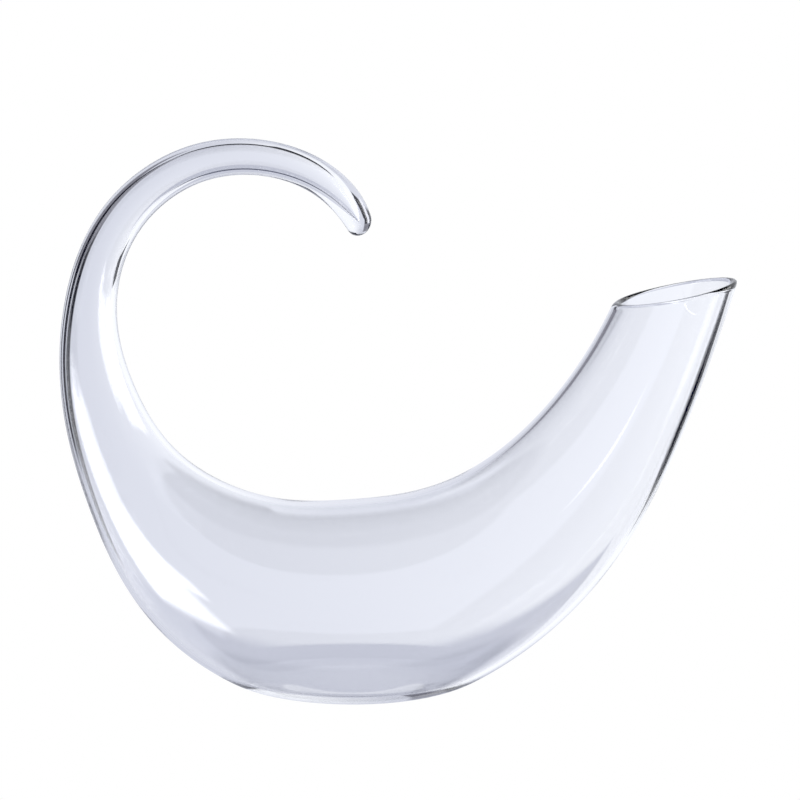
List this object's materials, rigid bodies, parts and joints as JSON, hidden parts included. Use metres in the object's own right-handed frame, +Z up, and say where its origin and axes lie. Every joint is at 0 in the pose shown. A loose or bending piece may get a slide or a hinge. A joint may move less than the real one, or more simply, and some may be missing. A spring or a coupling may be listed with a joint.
{
  "type": "wine decanter",
  "caption": "Curled horn-shaped decanter of clear blown glass: a slender hollow tail to hold it by, a bowl on a flattened foot and an open slanted spout.",
  "frame": {"origin": "centre of the flat face under the foot, on which the decanter stands", "axes": "+Z up; +X towards the spout, in the plane of the curl; +Y across the bowl"},
  "size_m": [0.3026, 0.0976, 0.2527],
  "materials": {
    "clear_glass": "clear, fire-polished"
  },
  "bodies": {
    "root": {"pouring_lip": "clear_glass", "spout": "clear_glass", "bowl": "clear_glass", "foot": "clear_glass", "tail_handle": "clear_glass", "tail_tip": "clear_glass"}
  },
  "joints": []
}
